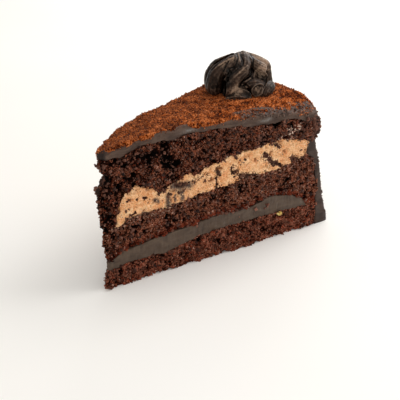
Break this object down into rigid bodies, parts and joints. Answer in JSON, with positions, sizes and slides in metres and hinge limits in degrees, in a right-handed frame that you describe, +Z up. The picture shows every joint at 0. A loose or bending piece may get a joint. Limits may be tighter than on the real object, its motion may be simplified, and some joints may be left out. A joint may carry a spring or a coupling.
{
  "type": "slice of chocolate cake",
  "caption": "Upright wedge of dark chocolate sponge layer cake with fudge and mousse fillings, a cocoa-dusted iced top and rim, and a piped cream rosette.",
  "frame": {"origin": "middle of the slice's bounding box in plan, on the flat base it rests on", "axes": "+X along the front cut face from the blunt tip to the iced rim, +Y from the front cut face towards the rear one, +Z up"},
  "size_m": [0.1234, 0.0624, 0.0856],
  "materials": {
    "sponge": "dark, moist, open chocolate crumb; matte",
    "fudge": "smooth grey-brown fudge with a soft sheen",
    "mousse": "pale peach-brown mousse with fine bubbles; matte",
    "icing": "dark smeared chocolate icing with a soft sheen, dusted with cocoa on top",
    "rosette": "nearly black piped chocolate cream, satin"
  },
  "bodies": {
    "root": {"sponge_bottom": "sponge", "fudge_filling": "fudge", "sponge_middle": "sponge", "mousse_filling": "mousse", "sponge_top": "sponge", "icing": "icing", "rosette": "rosette"}
  },
  "joints": []
}
